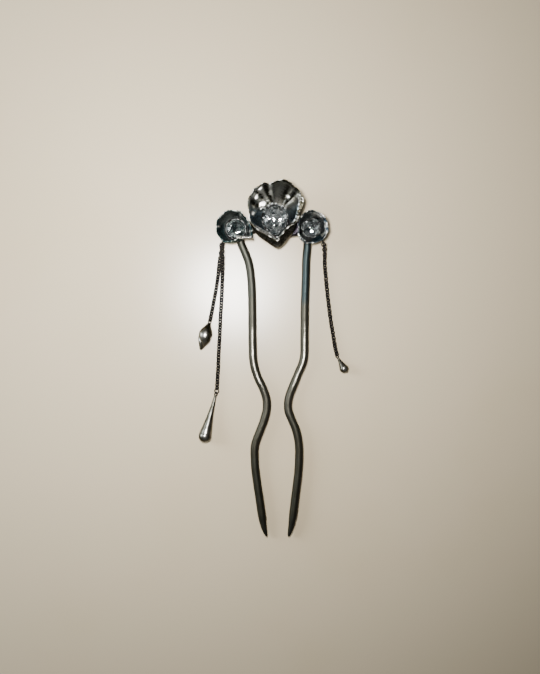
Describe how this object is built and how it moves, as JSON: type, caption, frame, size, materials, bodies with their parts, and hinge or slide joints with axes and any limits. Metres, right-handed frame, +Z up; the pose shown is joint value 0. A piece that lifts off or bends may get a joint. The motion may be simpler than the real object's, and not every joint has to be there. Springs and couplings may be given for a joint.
{
  "type": "french hair pin",
  "caption": "Two-pronged french hair pin of blackened silver wire with flower cups, clear cut stones and fine chains that end in drops.",
  "frame": {"origin": "on the surface that the pin lies on, under the middle of the whole outline", "axes": "+X across the pin towards the cup with one chain, +Y along the prongs towards the flower cups, +Z up out of the cups"},
  "size_m": [0.0522, 0.1234, 0.0102],
  "materials": {
    "blackened_silver": "blackened silver, burnished bright on the edges",
    "clear_stone": "polished facets",
    "dark_chain": "blackened silver links",
    "drop_silver": "lightly blackened polished silver"
  },
  "bodies": {
    "root": {"pin_frame": "blackened_silver", "pear_stone": "clear_stone", "left_stone": "clear_stone", "right_stone": "clear_stone", "long_chain": "dark_chain", "long_jump_ring": "dark_chain", "long_drop": "drop_silver", "short_chain": "dark_chain", "bud_drop": "drop_silver", "right_chain": "dark_chain", "small_drop": "drop_silver"}
  },
  "joints": []
}
